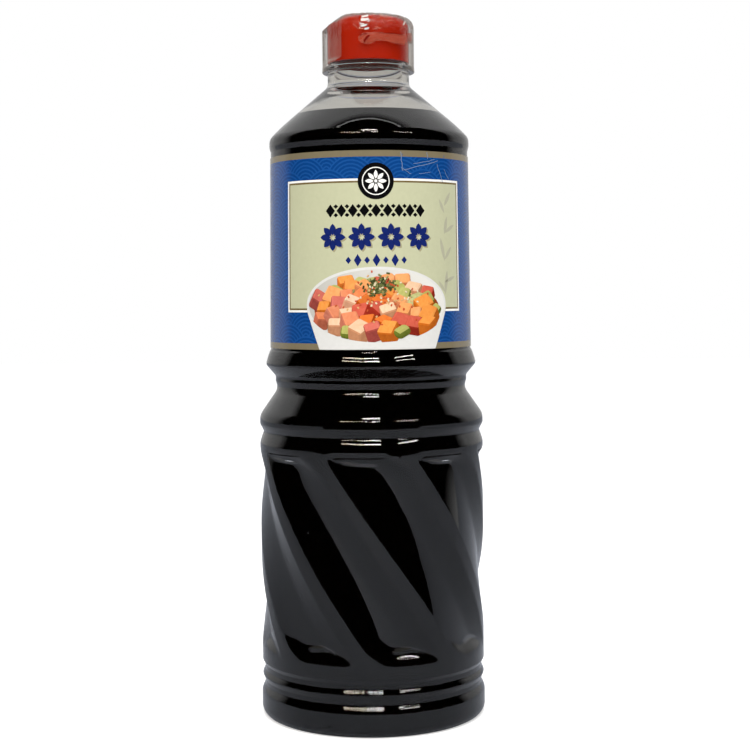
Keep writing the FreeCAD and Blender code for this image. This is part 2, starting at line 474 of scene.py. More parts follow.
def corner_pull(corner_round, distance):
    """How far a rounded corner draws a flute's side in, at a distance from its end."""
    inside = (corner_round - distance).most(0.0).least(corner_round)
    return corner_round - (corner_round * corner_round - inside * inside).math("SQRT")


def spin_tree():
    """Turns the outline's points about the axis, cuts the flutes into it, and closes the seam."""
    tree, inputs, size = tree_face("Spin", Geometry=["Outline"], Int=["Columns"],
                                   Float=["Body Radius", *flute_sizes], Material=["Material"])
    count = node(tree, "GeometryNodeAttributeDomainSize")
    join(tree, (inputs["Outline"], count.inputs["Geometry"]))
    rows = Number(tree, count.outputs["Point Count"])
    grid = node(tree, "GeometryNodeMeshGrid")
    join(tree, (size["Columns"] + 1.0, grid.inputs["Vertices X"]), (rows, grid.inputs["Vertices Y"]))

    index = Number(tree, node(tree, "GeometryNodeInputIndex").outputs[0])
    column = (index / rows).math("FLOOR")
    place = node(tree, "GeometryNodeSampleIndex", data_type="FLOAT_VECTOR")
    position = node(tree, "GeometryNodeInputPosition")
    join(tree, (inputs["Outline"], place.inputs["Geometry"]), (position.outputs[0], place.inputs["Value"]),
         (index - column * rows, place.inputs["Index"]))
    radius, sunk, height = parts_of(tree, place.outputs["Value"])

    along = column * flute_count / size["Columns"]
    depth = fluted_depth(size, along.math("FRACT"), height)
    below_flutes = (size["Flute Bottom"] - height).math("GREATER_THAN", 0.0) * MM
    radius = radius.least(size["Body Radius"] + below_flutes - depth - sunk)
    level = height.most(size["Flute Bottom"]).least(size["Flute Top"])
    turn = size["Phase"] - (level - size["Phase Height"]) * size["Twist"]
    angle = turn + column * math.tau / size["Columns"]
    spot = vector_of(tree, radius * angle.math("COSINE"), radius * angle.math("SINE"), height)

    moved = node(tree, "GeometryNodeSetPosition")
    merged = node(tree, "GeometryNodeMergeByDistance", {"Distance": 1e-6})
    smooth = node(tree, "GeometryNodeSetShadeSmooth")
    join(tree, (grid.outputs["Mesh"], moved.inputs["Geometry"]), (spot, moved.inputs["Position"]),
         (moved.outputs[0], merged.inputs["Geometry"]), (merged.outputs[0], smooth.inputs["Geometry"]))
    close_tree(tree, smooth, inputs)
    return tree


def new_piece(name, mesh):
    """An object at the origin that holds a mesh."""
    piece = bpy.data.objects.new(name, mesh)
    bpy.context.scene.collection.objects.link(piece)
    return piece


def piece_from(name, bm, material=None, sharp=None):
    """A piece from a finished bmesh; a sharp angle, in degrees, makes it smooth up to there."""
    mesh = bpy.data.meshes.new(name)
    bm.to_mesh(mesh)
    bm.free()
    if material:
        mesh.materials.append(materials[material])
    if sharp:
        mesh.shade_smooth()
        mesh.set_sharp_from_angle(angle=math.radians(sharp))
    return new_piece(name, mesh)


def spun(name, outline, material, columns=flute_count * columns_per_flute, sunk=None, fluted=True):
    """A piece turned from an outline in millimetres; sunk is how far each point lies below the skin."""
    sunk = sunk or [0.0] * len(outline)
    mesh = bpy.data.meshes.new(name)
    points = [(radius * MM, depth * MM, height * MM) for (radius, height), depth in zip(outline, sunk)]
    mesh.from_pydata(points, [(i, i + 1) for i in range(len(points) - 1)], [])
    piece = new_piece(name, mesh)
    sizes = dict(flute_sizes)
    if not fluted:
        sizes["Flute Depth"] = 0.0
    apply_tree(piece, trees["spin"], {"Columns": columns, "Body Radius": body_radius * MM,
                                      "Material": material, **sizes})
    face_outwards(piece)
    return piece


def apply_tree(piece, tree, values):
    """Runs a node tree on a piece and keeps the result as its plain mesh."""
    modifier = piece.modifiers.new(tree.name, "NODES")
    modifier.node_group = tree
    for item in tree.interface.items_tree:
        if item.in_out == "INPUT" and item.name in values:
            modifier[item.identifier] = values[item.name]
    depsgraph = bpy.context.evaluated_depsgraph_get()
    mesh = bpy.data.meshes.new_from_object(piece.evaluated_get(depsgraph))
    piece.modifiers.remove(modifier)
    piece.data = mesh


def face_outwards(piece):
    """Turns every face of a closed mesh outwards."""
    bm = bmesh.new()
    bm.from_mesh(piece.data)
    bmesh.ops.recalc_face_normals(bm, faces=bm.faces)
    bm.to_mesh(piece.data)
    bm.free()


# ======== materials ========

def colour(code):
    """Linear colour from a six-digit code."""
    parts = [int(code[i:i + 2], 16) / 255 for i in (0, 2, 4)]
    return tuple(((p + 0.055) / 1.055) ** 2.4 if p > 0.04045 else p / 12.92 for p in parts) + (1.0,)


def shader_of(material):
    """The inputs of a material's shader."""
    return material.node_tree.nodes["Principled BSDF"].inputs


def finish(name, **values):
    """A new material; values are its shader's sockets by name, with _ for a space."""
    material = bpy.data.materials.new(name)
    material.use_nodes = True
    for key, value in values.items():
        shader_of(material)[key.replace("_", " ")].default_value = value
    return material


def on_piece(tree):
    """The place on a piece, as a socket."""
    return node(tree, "ShaderNodeTexCoord").outputs["Object"]


def grain_on(tree, **values):
    """A noise over the piece; values are its inputs by name."""
    grain = node(tree, "ShaderNodeTexNoise", values)
    join(tree, (on_piece(tree), grain.inputs["Vector"]))
    return Number(tree, grain.outputs["Fac"])


def clear_plastic():
    """Blown clear plastic, with a few shallow dents and specks in the fluted part."""
    material = finish("clear_plastic", Base_Color=(1, 1, 1, 1), Transmission_Weight=1.0, IOR=1.5,
                      Roughness=0.0)
    tree = material.node_tree
    place = on_piece(tree)
    height = parts_of(tree, place)[2]
    fluted = (body_top * MM - 0.003 - height).math("GREATER_THAN", 0.0)
    relief = None
    for scale, reach, kept, depth in ((70.0, 0.10, 0.66, 0.7), (110.0, 0.075, 0.45, 0.4)):
        cells = node(tree, "ShaderNodeTexVoronoi", {"Scale": scale})
        chance = node(tree, "ShaderNodeSeparateColor")
        join(tree, (place, cells.inputs["Vector"]), (cells.outputs["Color"], chance.inputs[0]))
        dent = (1.0 - Number(tree, cells.outputs["Distance"]) / reach).most(0.0)
        dent = dent * dent * Number(tree, chance.outputs[0]).math("GREATER_THAN", kept) * (fluted * depth)
        relief = relief + dent if relief else dent
    bump = node(tree, "ShaderNodeBump", {"Strength": 1.0, "Distance": 0.0003}, invert=True)
    join(tree, (relief, bump.inputs["Height"]), (bump.outputs["Normal"], shader_of(material)["Normal"]))
    return material


def grained(material, tone, scale, spread, roughness, rough_spread):
    """Gives a material a tone, if there is one, and a roughness that vary a little with a grain."""
    tree = material.node_tree
    share = grain_on(tree, Scale=scale, Detail=3.0)
    if tone:
        low, high = [[min(part * (1 + side * spread), 1.0) for part in tone[:3]] + [1.0] for side in (-1, 1)]
        blended(tree, share, low, high, shader_of(material)["Base Color"])
    join(tree, (share * (2 * rough_spread) + (roughness - rough_spread), shader_of(material)["Roughness"]))
    return material


def dark_sauce():
    """Nearly black brown filling, matt because it lies against the wall."""
    material = finish("dark_sauce", Specular_IOR_Level=0.0)
    return grained(material, (0.0010, 0.0007, 0.0005), 30.0, 0.4, 0.95, 0.05)


def print_ink(name, code=None):
    """One colour of print under the label's clear gloss, with the fine unevenness of print."""
    return grained(finish(name, Specular_IOR_Level=0.45), code and colour(code), 700.0, 0.05, 0.16, 0.03)


def bowl_inside():
    """Shaded inside of the printed bowl, lighter towards the right."""
    material = print_ink("bowl_inside")
    tree = material.node_tree
    across = parts_of(tree, on_piece(tree))[0]
    share = (across / (2 * bowl_half_width * MM) + 0.5).most(0.0).least(1.0)
    blended(tree, share, colour("B4B2AC"), colour("DEDDD8"), shader_of(material)["Base Color"])
    return material


def food_print():
    """Print whose colour lies on the faces."""
    material = print_ink("food_print")
    tree = material.node_tree
    tones = node(tree, "ShaderNodeAttribute", attribute_name="Print")
    blend = node(tree, "ShaderNodeMix", {"Factor": 0.4}, data_type="RGBA", blend_type="SOFT_LIGHT")
    join(tree, (tones.outputs["Color"], blend.inputs["A"]),
         (grain_on(tree, Scale=420.0, Distortion=1.5), blend.inputs["B"]),
         (blend.outputs["Result"], shader_of(material)["Base Color"]))
    return material


def red_plastic():
    """Glossy red moulding with faint flow marks."""
    return grained(finish("red_plastic", Specular_IOR_Level=0.4), colour("B22002"), 90.0, 0.08, 0.22, 0.05)


def clear_film():
    """Thin clear film: it lets the cap show and only reflects, most where seen aslant."""
    material = finish("clear_film", Base_Color=(0.42, 0.36, 0.30, 1), Metallic=1.0, Roughness=0.03)
    tree = material.node_tree
    aslant = Number(tree, node(tree, "ShaderNodeLayerWeight", {"Blend": 0.5}).outputs["Facing"])
    height = parts_of(tree, on_piece(tree))[2]
    slack = ((height - (film_high.z - 0.0105)) / 0.005).most(0.0).least(1.0)
    bump = node(tree, "ShaderNodeBump", {"Distance": 0.0016})
    join(tree, (grain_on(tree, Scale=330.0, Detail=3.0, Distortion=1.2), bump.inputs["Height"]),
         (slack * 0.8 + 0.03, bump.inputs["Strength"]),
         (bump.outputs["Normal"], shader_of(material)["Normal"]),
         ((aslant.math("POWER", 3.0) * 1.1 + 0.07).least(0.9), shader_of(material)["Alpha"]))
    return material


def painted_glint():
    """Painted highlight on the seal's creases: pale ribbons that shine white, more in some spots than in
    others.
    """
    return grained(finish("painted_glint", Alpha=0.75), (0.80, 0.76, 0.72), 600.0, 0.25, 0.25, 0.1)


def folded_film_and_faint_glint():
    """Several layers of the seal folded over each other, milky against the cap; the seal's faint painted
    highlights use it too.
    """
    material = finish("folded_film_and_faint_glint", Base_Color=(0.54, 0.12, 0.07, 1), Roughness=0.18, Specular_IOR_Level=0.6)
    tree = material.node_tree
    join(tree, (grain_on(tree, Scale=900.0) * 0.4 + 0.1, shader_of(material)["Alpha"]))
    return material


# ======== studio ========

def make_camera():
    """The camera, a little above the label's foot and looking slightly down."""
    data = bpy.data.cameras.new("Camera")
    data.lens = camera_lens
    data.sensor_width = 36.0
    camera = bpy.data.objects.new("Camera", data)
    bpy.context.scene.collection.objects.link(camera)
    place = Matrix.Translation(camera_place)
    tilt = Matrix.Rotation(math.pi / 2 - camera_down, 4, "X")
    roll = Matrix.Rotation(camera_roll, 4, "Z")
    camera.matrix_world = place @ tilt @ roll
    bpy.context.scene.camera = camera


def make_world():
    """White behind and above, a dark room in front for reflections, a plain level for the rest."""
    world = bpy.data.worlds.new("Studio")
    world.use_nodes = True
    bpy.context.scene.world = world
    tree = world.node_tree
    background = tree.nodes["Background"].inputs
    _, depth, upward = parts_of(tree, node(tree, "ShaderNodeTexCoord").outputs["Generated"])
    upward = upward.most(0.0)
    room = ((depth - room_edge) / (room_blend - upward * room_sharpness)).most(0.0).least(1.0)
    room = room * (upward * (backdrop_level - side_level) + side_level)
    strip = (1.0 - (depth - strip_place).math("ABSOLUTE") / strip_half_width).most(0.0)
    room = room + strip * upward.math("GREATER_THAN", 0.9) * strip_level
    rays = node(tree, "ShaderNodeLightPath").outputs
    glossy, seen, through = [Number(tree, rays[f"Is {kind} Ray"])
                             for kind in ("Glossy", "Camera", "Transmission")]
    level = (1.0 - glossy) * plain_level + glossy * room
    level = level * (1.0 - through) + through * through_level
    level = level * (1.0 - seen) + seen
    join(tree, (level, background["Strength"]))
    blended(tree, through, (1, 1, 1, 1), through_tint, background["Color"])


def make_floor():
    """Pale floor that ends a little in front, so that reflections there turn dark."""
    mesh = bpy.data.meshes.new("floor")
    corners = [(-2.0, floor_front), (2.0, floor_front), (2.0, 3.0), (-2.0, 3.0)]
    mesh.from_pydata([(x, y, 0) for x, y in corners], [], [(0, 1, 2, 3)])
    material = finish("floor_paper", Emission_Color=(1, 1, 1, 1), Roughness=1.0, Specular_IOR_Level=0.0)
    tree = material.node_tree
    rays = node(tree, "ShaderNodeLightPath").outputs
    lift = Number(tree, rays["Is Camera Ray"]) * floor_lift
    join(tree, (lift, shader_of(material)["Emission Strength"]))
    blended(tree, rays["Is Glossy Ray"], floor_tone, floor_reflected, shader_of(material)["Base Color"])
    mesh.materials.append(material)
    new_piece("floor", mesh)


def make_tube(name, azimuth, elevation, width, height, radiance, tint):
    """A rectangular lamp that faces the bottle, all in degrees; azimuth is from the front towards +X."""
    data = bpy.data.lights.new(name, "AREA")
    data.shape = "RECTANGLE"
    data.size = lamp_distance * math.radians(width)
    data.size_y = lamp_distance * math.radians(height)
    data.energy = radiance * math.pi * data.size * data.size_y
    data.color = tint
    lamp = bpy.data.objects.new(name, data)
    bpy.context.scene.collection.objects.link(lamp)
    flat = lamp_distance * math.cos(math.radians(elevation))
    place = Vector((flat * math.sin(math.radians(azimuth)), -flat * math.cos(math.radians(azimuth)),
                    lamp_centre + lamp_distance * math.sin(math.radians(elevation))))
    aim = (place - Vector((0, 0, lamp_centre))).to_track_quat("Z", "Y")
    lamp.matrix_world = Matrix.Translation(place) @ aim.to_matrix().to_4x4()


def make_lamps():
    """Ceiling tubes in front, in pairs, and one larger lamp higher up."""
    white = (1.0, 0.98, 0.95)
    warm = (1.0, 0.9, 0.72)
    for side, (azimuth, width, radiance, tint) in {
        "left": (-21.5, 20, 26, warm), "middle": (1.3, 15, 44, white), "right": (40.5, 20, 22, white),
    }.items():
        for row, elevation in enumerate(tube_rows):
            make_tube(f"tube_{side}_{row}", azimuth, elevation, width, tube_thick, radiance, tint)
    make_tube("lamp_high", 0, 56, 14, 9, 30, white)


# ======== label ========

def panel_radius(height):
    """Radius of the slightly tapered label panel, in millimetres."""
    share = (height - panel_bottom) / (panel_top - panel_bottom)
    return panel_low_radius + (panel_top_radius - panel_low_radius) * share


def on_label(along, height, lift):
    """A place on the label, in metres: along it from the middle of its print, and lifted off it."""
    angle = print_turn + along / print_radius
    radius = panel_radius(height) + label_thick + lift
    return Vector((radius * math.sin(angle), -radius * math.cos(angle), height)) * MM


def on_facets(along, height, lift):
    """The same place on the label's facets, so that every layer of print bends alike."""
    start = math.floor(along / print_step) * print_step
    share = (along - start) / print_step
    return on_label(start, height, lift).lerp(on_label(start + print_step, height, lift), share)


def wrap(bm):
    """Cuts flat print across so that it can bend, then lays it on the label."""
    spans = [v.co.x for v in bm.verts]
    cuts = range(math.ceil(min(spans) / print_step), math.floor(max(spans) / print_step) + 1)
    for i in cuts:
        geometry = bm.verts[:] + bm.edges[:] + bm.faces[:]
        bmesh.ops.bisect_plane(bm, geom=geometry, dist=1e-5, plane_co=(i * print_step, 0, 0),
                               plane_no=(1, 0, 0))
    for vert in bm.verts:
        vert.co = on_facets(*vert.co)


def loft(bm, rows, closed=False):
    """Joins rings of as many points; a closed run meets its own start, an open one gets end faces."""
    count = len(rows[0])
    for row, following in zip(rows, rows[1:] + (rows[:1] if closed else [])):
        for i in range(count):
            j = (i + 1) % count
            bm.faces.new((row[i], row[j], following[j], following[i]))
    if not closed:
        bm.faces.new(rows[0][::-1])
        bm.faces.new(rows[-1])


def plate(bm, outline, lift, sink=0.05):
    """A closed flat plate from a convex outline, sunk a little into what lies below it."""
    loft(bm, [[bm.verts.new((*spot, level)) for spot in outline] for level in (-sink, lift)])


def ribbon(bm, line, width, lift, sink=0.04):
    """A line of print along a path: flat on top, its underside a keel in what lies below."""
    rows = []
    for i, (along, height) in enumerate(line):
        run = run_at(line, i)
        rows.append([
            bm.verts.new((along - side * run[1] * width / 2, height + side * run[0] * width / 2, level))
            for side, level in ((1, lift), (-1, lift), (0, -sink))
        ])
    loft(bm, rows)


def turn_outwards(bm):
    """Turns the faces of every closed part of a mesh outwards."""
    bmesh.ops.recalc_face_normals(bm, faces=bm.faces)
    left = set(bm.faces)
    while left:
        part = {left.pop()}
        edge_of_part = list(part)
        while edge_of_part:
            face = edge_of_part.pop()
            for other in {f for edge in face.edges for f in edge.link_faces if f in left}:
                left.remove(other)
                part.add(other)
                edge_of_part.append(other)
        start = next(iter(part)).verts[0].co
        if sum((f.calc_center_median() - start).dot(f.normal) * f.calc_area() for f in part) < 0:
            bmesh.ops.reverse_faces(bm, faces=list(part))


def printed(name, bm, material):
    """Finishes a piece of print and lets it ride."""
    turn_outwards(bm)
    piece = piece_from(name, bm, material, sharp=35)
    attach(piece, "root")


def flat_print(name, material, outlines):
    """A piece of flat print on the label, from convex outlines."""
    bm = bmesh.new()
    for outline in outlines:
        plate(bm, outline, print_lifts[name])
    wrap(bm)
    printed(name, bm, material)


def box_outline(half_width, low, high):
    """Corners of an upright rectangle in the middle of the print."""
    return [(-half_width, low), (half_width, low), (half_width, high), (-half_width, high)]


def disc_outline(middle, radius, count=40, squash=1.0):
    """Points round a disc of print."""
    angles = [math.tau * i / count for i in range(count)]
    return [(middle[0] + radius * math.cos(a), middle[1] + radius * squash * math.sin(a)) for a in angles]


def make_label():
    """The wrap label itself, in the blue of its field."""
    low = label_low.z / MM
    high = label_high.z / MM
    outline = [
        (panel_radius(low), low), (panel_radius(low) + label_thick, low),
        (panel_radius(high) + label_thick, high), (panel_radius(high), high), (panel_radius(low), low),
    ]
    label = spun("label_film", outline, materials["label_blue"], fluted=False)
    label.data.set_sharp_from_angle(angle=math.radians(35))
    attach(label, "root")
    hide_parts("label")


def make_bands():
    """Gold bands along both edges of the label."""
    bm = bmesh.new()
    half_turn = math.pi * print_radius
    count = 180
    lift = print_lifts["label_bands"]
    for low, high in ((label_low.z / MM, label_low.z / MM + band_height),
                      (label_high.z / MM - band_height, label_high.z / MM)):
        rows = []
        for i in range(count):
            along = -half_turn + 2 * half_turn * i / count
            rows.append([bm.verts.new((along, *spot)) for spot in (
                (low, -0.05), (low, lift), (high, lift), (high, -0.05))])
        loft(bm, rows, closed=True)
    for vert in bm.verts:
        vert.co = on_label(*vert.co)
    printed("label_bands", bm, "label_gold")


def wave_fan(bm):
    """One fan of the wave pattern: rings cut off where the next row of fans covers them."""
    lean = math.atan(0.5)
    for ring in range(wave_rings):
        radius = wave_radius - ring * wave_ring_step
        share = radius / wave_radius
        reach = lean + math.asin(min((share + 0.25 / share) / math.sqrt(5), 1.0))
        count = max(4, round(10 * share))
        angles = [reach * (2 * i / count - 1) for i in range(count + 1)]
        line = [(radius * math.sin(a), radius * math.cos(a)) for a in angles]
        ribbon(bm, line, wave_line, print_lifts["label_waves"])


def wave_tree():
    """Sets a fan on every place of a staggered grid, then lays the whole pattern round the label."""
    tree, inputs, size = tree_face(
        "Waves", Geometry=["Fan"], Int=["Columns", "Rows"],
        Float=["Spacing", "Rise", "Foot", "Print Radius", "Low Radius", "Taper", "Turn"],
        Material=["Material"])
    grid = node(tree, "GeometryNodeMeshGrid")
    join(tree, (size["Columns"], grid.inputs["Vertices X"]), (size["Rows"], grid.inputs["Vertices Y"]))
    index = Number(tree, node(tree, "GeometryNodeInputIndex").outputs[0])
    column = (index / size["Rows"]).math("FLOOR")
    row = index - column * size["Rows"]
    stagger = (row * 0.5).math("FRACT")
    spot = vector_of(tree, (column + stagger) * size["Spacing"], row * size["Rise"] + size["Foot"])
    placed = node(tree, "GeometryNodeSetPosition")
    fans = node(tree, "GeometryNodeInstanceOnPoints")
    real = node(tree, "GeometryNodeRealizeInstances")
    join(tree, (grid.outputs["Mesh"], placed.inputs["Geometry"]), (spot, placed.inputs["Position"]),
         (placed.outputs[0], fans.inputs["Points"]), (inputs["Fan"], fans.inputs["Instance"]),
         (fans.outputs[0], real.inputs["Geometry"]))

    along, height, lift = parts_of(tree, node(tree, "GeometryNodeInputPosition").outputs[0])
    angle = along / size["Print Radius"] + size["Turn"]
    radius = size["Low Radius"] - (height - size["Foot"]) * size["Taper"] + lift
    spot = vector_of(tree, radius * angle.math("SINE"), radius * angle.math("COSINE") * -1.0, height)
    bent = node(tree, "GeometryNodeSetPosition")
    join(tree, (real.outputs[0], bent.inputs["Geometry"]), (spot, bent.inputs["Position"]))
    close_tree(tree, bent, inputs)
    return tree


def make_waves():
    """Pale wave lines over the whole blue field."""
    low = label_low.z / MM
    high = label_high.z / MM
    columns = 13
    rise = wave_radius / 2
    spacing = math.tau * print_radius / columns
    foot = low - wave_radius
    rows = math.ceil((high - foot) / rise)
    bm = bmesh.new()
    wave_fan(bm)
    bmesh.ops.recalc_face_normals(bm, faces=bm.faces)
    bmesh.ops.scale(bm, vec=(MM, MM, MM), verts=bm.verts)
    piece = piece_from("label_waves", bm)
    taper = (panel_low_radius - panel_top_radius) / (panel_top - panel_bottom)
    apply_tree(piece, trees["waves"], {
        "Columns": columns, "Rows": rows, "Spacing": spacing * MM, "Rise": rise * MM, "Foot": foot * MM,
        "Print Radius": print_radius * MM, "Low Radius": (panel_radius(foot) + label_thick) * MM,
        "Taper": taper, "Turn": print_turn, "Material": materials["label_wave"]})
    trim(piece, low + 0.5, high - 0.5)
    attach(piece, "root")


def trim(piece, low, high):
    """Cuts a piece off level at two heights in millimetres, and closes the cuts."""
    bm = bmesh.new()
    bm.from_mesh(piece.data)
    for height, up in ((low, -1), (high, 1)):
        geometry = bm.verts[:] + bm.edges[:] + bm.faces[:]
        bmesh.ops.bisect_plane(bm, geom=geometry, dist=1e-7, plane_co=(0, 0, height * MM),
                               plane_no=(0, 0, up), clear_outer=True)
        bmesh.ops.holes_fill(bm, edges=[edge for edge in bm.edges if edge.is_boundary], sides=0)
    turn_outwards(bm)
    bm.to_mesh(piece.data)
    bm.free()


def make_panel():
    """Cream panel with a white and a gold line round it, each plate inside the one below."""
    inset = 0.0
    for name, material, line in (
        ("panel_edge", "label_white", panel_white_line),
        ("panel_line", "label_dark_gold", panel_gold_line),
        ("panel_field", "label_cream", 0.0),
    ):
        outline = box_outline(panel_half_width - inset, panel_foot + inset, panel_head - inset)
        flat_print(name, material, [outline])
        inset += line


def petal(middle, turn, length, width):
    """Corners of a slim leaf that starts at a point and leans by a turn from upright."""
    share = [i / 8 for i in range(9)]
    line = [(width / 2 * math.sin(math.pi * s) ** 0.8, length * s) for s in share]
    line += [(-across, up) for across, up in line[-2:0:-1]]
    sine, cosine = math.sin(turn), math.cos(turn)
    return [(middle[0] + x * cosine + y * sine, middle[1] - x * sine + y * cosine) for x, y in line][::-1]


def flower(middle, start, length, width, petals=8):
    """Outlines of petals round a point, each starting a little way out."""
    turns = [math.tau * i / petals for i in range(petals)]
    return [petal((middle[0] + start * math.sin(turn), middle[1] + start * math.cos(turn)), turn, length,
                  width) for turn in turns]


def make_emblem():
    """Round crest over the panel's upper edge: dark disc, pale ring and a pale flower."""
    middle = (0.0, crest_height)
    for name, material, radius in (
        ("crest_rim", "label_black", 6.4), ("crest_ring", "label_white", 4.9),
        ("crest_field", "label_black", 4.55),
    ):
        flat_print(name, material, [disc_outline(middle, radius)])
    petals = flower(middle, start=0.8, length=3.0, width=1.35)
    flat_print("crest_flower", "label_white", petals + [disc_outline(middle, 0.55, 12)])


def lozenge(middle, half_width, half_height):
    """Corners of a diamond."""
    return [(middle[0] - half_width, middle[1]), (middle[0], middle[1] - half_height),
            (middle[0] + half_width, middle[1]), (middle[0], middle[1] + half_height)]


def make_ornaments():
    """Rows of plain ornament in the middle of the panel, and leaves at its side."""
    step = 4.1
    row = [lozenge((i * step, lozenge_row), 1.75, 2.3) for i in range(-4, 5)]
    row += [lozenge(((i + 0.5) * step, lozenge_row + lean * 1.5), 0.9, 0.8)
            for i in range(-4, 4) for lean in (-1, 1)]
    flat_print("row_lozenges", "label_black", row)
    for name, material, shift in (("flower_shadows", "label_shadow", 0.5), ("flowers", "label_navy", 0.0)):
        petals = []
        for i in range(4):
            middle = ((i - 1.5) * 10.4 + shift, flower_row - shift)
            petals += flower(middle, start=0.75, length=4.0, width=2.3)
        flat_print(name, material, petals)
    row = [lozenge((i * 3.3, small_row), *((1.0, 1.3) if i % 2 else (1.35, 2.2))) for i in range(-3, 4)]
    flat_print("row_small", "label_navy", row)
    leaves = (
        (187.5, 35, 6.0, 1.5), (185.0, -28, 5.5, 1.3), (178.0, 62, 6.5, 1.4), (177.5, 12, 6.5, 1.6),
        (168.0, -15, 8.5, 1.6), (168.5, 38, 6.0, 1.4), (160.5, 70, 6.0, 1.3), (156.0, 8, 9.0, 1.6),
        (157.0, -40, 5.0, 1.2),
    )
    outlines = [petal((leaf_column, height), math.radians(turn), *size) for height, turn, *size in leaves]
    flat_print("side_leaves", "label_mark", outlines)


def make_creases():
    """Fine pale creases in the clear sleeve over the label's upper right corner."""
    rng = random.Random(5)
    bm = bmesh.new()
    high = label_high.z / MM
    for start, run, width in (
        ((9.0, high - 0.6), (0.6, -6.5), 0.22), ((9.3, high - 6.0), (3.5, -2.2), 0.16),
        ((10.0, high - 7.0), (14.5, 3.8), 0.2), ((14.0, high - 4.6), (9.0, 1.8), 0.16),
        ((19.5, high - 0.4), (0.3, -2.4), 0.2), ((24.0, high - 4.5), (2.8, -6.0), 0.18),
        ((16.0, high - 8.0), (5.0, 0.6), 0.14), ((27.5, high - 6.0), (2.5, -3.5), 0.16),
    ):
        line = [(start[0] + run[0] * i / 7 + rng.uniform(-0.14, 0.14),
                 start[1] + run[1] * i / 7 + rng.uniform(-0.14, 0.14)) for i in range(8)]
        ribbon(bm, line, width, print_lifts["sleeve_creases"])
    wrap(bm)
    printed("sleeve_creases", bm, "label_crease")


# ======== printed bowl of diced food ========

def strip(bm, lows, highs, lift, sink=0.05):
    """A closed plate between two lines of print that have as many points."""
    loft(bm, [[bm.verts.new((*spot, level)) for spot, level in (
        (low, -sink), (low, lift), (high, lift), (high, -sink))] for low, high in zip(lows, highs)])


def bowl_side(along):
    """Height of the bowl's outer edge below its rim, at a place along the label."""
    reach = abs(along - bowl_middle[0])
    slope = (bowl_middle[1] - 1.5 - label_low.z / MM) / (bowl_half_width - bowl_foot_half_width)
    return label_low.z / MM + 0.05 + max(reach - bowl_foot_half_width, 0) * slope


def bowl_rim(along, grow=0.0):
    """Height of the near rim at a place along the label."""
    share = (along - bowl_middle[0]) / (bowl_half_width + grow)
    return bowl_middle[1] - (bowl_half_height + grow) * math.sqrt(max(1 - share * share, 0))


def make_bowl():
    """White bowl: its body, its shaded inside, and its near wall in front of the food."""
    across, up = bowl_middle
    foot = label_low.z / MM + 0.05
    angles = [math.radians(-8 + 196 * i / 48) for i in range(49)]
    outline = [(across + bowl_half_width * math.cos(a), up + bowl_half_height * math.sin(a)) for a in angles]
    outline += [(across - bowl_foot_half_width, foot), (across + bowl_foot_half_width, foot)]
    flat_print("bowl_body", "bowl_white", [outline])
    inner = bowl_half_width - 0.9
    outline = disc_outline((across + 0.1, up - 0.1), inner, 72, (bowl_half_height - 0.8) / inner)
    flat_print("bowl_inside", "bowl_inside", [outline])
    squash = (pile_half_height - 1.2) / pile_half_width
    outline = disc_outline((across, up - 1.6), pile_half_width, 60, squash)
    flat_print("bowl_gravy", "bowl_gravy", [outline])
    reach = bowl_half_width - 0.25
    places = [across + reach * math.sin(math.pi / 2 * (i / 30 - 1)) for i in range(61)]
    lows = [(along, bowl_side(along)) for along in places]
    highs = [(along, max(bowl_rim(along, -0.2), bowl_side(along) + 0.02)) for along in places]
    bm = bmesh.new()
    strip(bm, lows, highs, print_lifts["bowl_front"])
    wrap(bm)
    printed("bowl_front", bm, "bowl_white")


def toned(shade, amount):
    """A colour made lighter above 1 or darker below it."""
    paler = max(amount - 1, 0)
    return tuple(part * min(amount, 1) + (1 - part) * paler for part in shade[:3]) + (1.0,)


def bevelled_block(size, soften, segments):
    """A block with softened edges."""
    block = bmesh.new()
    bmesh.ops.create_cube(block, size=1.0)
    bmesh.ops.scale(block, vec=size, verts=block.verts)
    bmesh.ops.bevel(block, geom=block.edges[:], offset=soften, segments=segments, profile=0.5, affect="EDGES")
    return block


def add_morsel(bm, layer, spot, rank, size, turn, shades, soften):
    """A cut piece of food: a bevelled block, each face toned by how it faces the light."""
    block = bevelled_block(size, soften, 2)
    bmesh.ops.rotate(block, cent=(0, 0, 0), matrix=turn, verts=block.verts)
    block.normal_update()
    light = Vector((-0.45, 0.7, 0.55)).normalized()
    lift = print_lifts["bowl_food"] + rank * morsel_step
    in_front = {vert for face in block.faces if face.normal.z > 0 for vert in face.verts}
    copies = {}
    for vert in block.verts:
        level = lift if vert in in_front else -0.05
        copies[vert] = bm.verts.new((spot[0] + vert.co.x, spot[1] + vert.co.y, level))
    own_top = turn @ Vector((0, 0, 1))
    for face in block.faces:
        made = bm.faces.new([copies[vert] for vert in face.verts])
        shade = shades[0] if face.normal.dot(own_top) > 0.8 else shades[1]
        for loop in made.loops:
            loop[layer] = toned(shade, 0.55 + 0.44 * max(face.normal.dot(light), 0))
    block.free()


def pile_spots(rng):
    """Places of the diced pieces over the heap, farthest first, so that nearer ones lie over them."""
    spots = []
    rows = 7
    for row in range(rows):
        share_y = 1 - 2 * (row + 0.5) / rows
        reach = math.sqrt(1 - share_y * share_y)
        count = max(3, round(2 * reach * pile_half_width / 5.2))
        for i in range(count):
            share_x = reach * (2 * (i + 0.5 * (row % 2) + 0.25) / count - 1)
            swell = max(1 - share_x * share_x - share_y * share_y, 0)
            height = bowl_middle[1] + pile_half_height * share_y + 2.4 * swell - 2.2 + rng.uniform(-0.6, 0.6)
            along = bowl_middle[0] + pile_half_width * share_x + rng.uniform(-0.7, 0.7)
            spots.append((along, max(height, pile_low)))
    return spots


